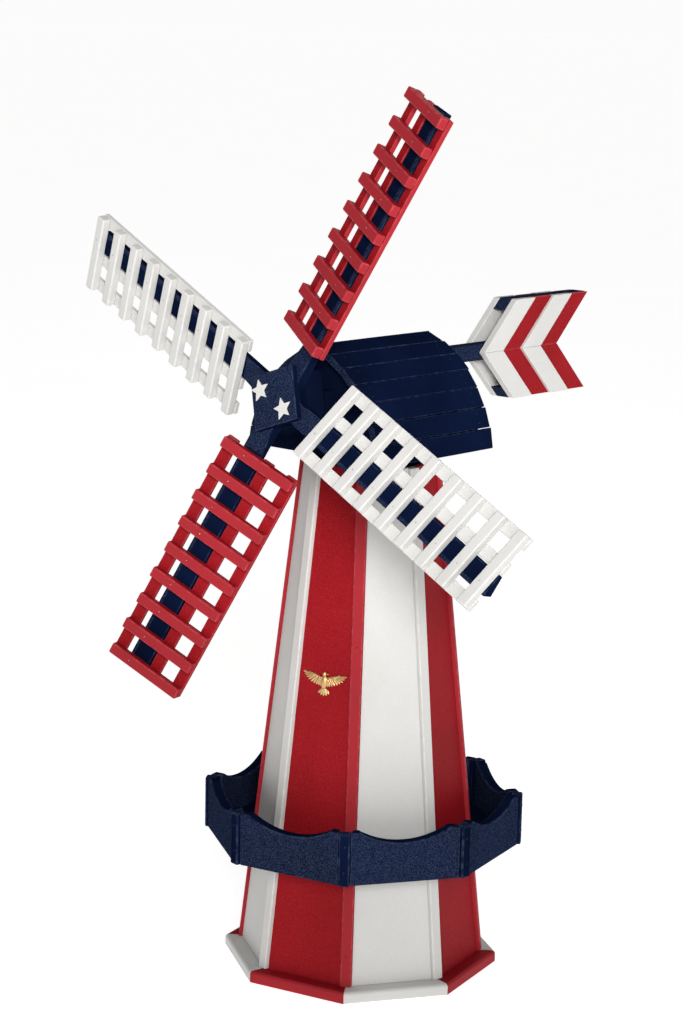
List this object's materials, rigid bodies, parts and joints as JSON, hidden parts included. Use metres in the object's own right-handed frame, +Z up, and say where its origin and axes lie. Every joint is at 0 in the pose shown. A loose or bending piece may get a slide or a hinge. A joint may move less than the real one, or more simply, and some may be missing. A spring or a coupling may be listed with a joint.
{
  "type": "garden windmill",
  "caption": "Ornamental garden windmill: eight-sided tapered tower with a planter ring, a swivelling barrel-roofed head, a lattice blade wheel and a chevron tail vane.",
  "frame": {"origin": "on the ground, on the tower's axis, in the underside of the bottom former", "axes": "+Z up the tower's axis; -Y is the tower's front, square to the panel with the bird ornament"},
  "size_m": [0.9894, 0.9563, 1.4892],
  "materials": {
    "red_board": "satin red plastic lumber",
    "white_board": "satin white plastic lumber",
    "navy_board": "satin navy plastic lumber with fine flecks",
    "steel": "zinc plated",
    "gilt": "gilt casting"
  },
  "bodies": {
    "tower": {"wall_panel_1": "red_board", "wall_panel_2": "white_board", "wall_panel_3": "red_board", "wall_panel_4": "white_board", "wall_panel_5": "red_board", "wall_panel_6": "white_board", "wall_panel_7": "red_board", "wall_panel_8": "white_board", "base_rail_1": "red_board", "base_rail_2": "white_board", "base_rail_3": "red_board", "base_rail_4": "white_board", "base_rail_5": "red_board", "base_rail_6": "white_board", "base_rail_7": "red_board", "base_rail_8": "white_board", "bottom_former": "navy_board", "top_plate": "navy_board", "bird_ornament": "gilt", "planter_board_1": "navy_board", "planter_board_2": "navy_board", "planter_board_3": "navy_board", "planter_board_4": "navy_board", "planter_board_5": "navy_board", "planter_board_6": "navy_board", "planter_board_7": "navy_board", "planter_board_8": "navy_board", "planter_floor": "navy_board", "turntable_lower": "steel"},
    "head": {"turntable_upper": "steel", "head_floor": "navy_board", "front_gable": "navy_board", "rear_gable": "navy_board", "roof_left": "navy_board", "roof_right": "navy_board", "axle_block_front": "navy_board", "axle_block_rear": "navy_board", "tail_boom": "navy_board", "chevron_left_1": "white_board", "chevron_left_2": "red_board", "chevron_left_3": "white_board", "chevron_left_4": "red_board", "chevron_right_1": "white_board", "chevron_right_2": "red_board", "chevron_right_3": "white_board", "chevron_right_4": "red_board", "tail_spacer_top": "navy_board", "tail_spacer_bottom": "navy_board"},
    "wheel": {"wheel_axle": "steel", "axle_spacer": "steel", "hub_front_plate": "navy_board", "hub_block": "navy_board", "spar_1": "navy_board", "spar_2": "navy_board", "spar_3": "navy_board", "spar_4": "navy_board", "lattice_1": "red_board", "lattice_2": "white_board", "lattice_3": "red_board", "lattice_4": "white_board"}
  },
  "joints": [
    {"name": "head_yaw", "type": "hinge", "parent": "tower", "child": "head", "pos_m": [0, 0, 0.88125], "axis": [0, 0, 1], "continuous": true},
    {"name": "wheel_spin", "type": "hinge", "parent": "head", "child": "wheel", "pos_m": [-0.05202, -0.23214, 0.9959], "axis": [-0.2133, -0.9519, 0.2198], "continuous": true}
  ]
}
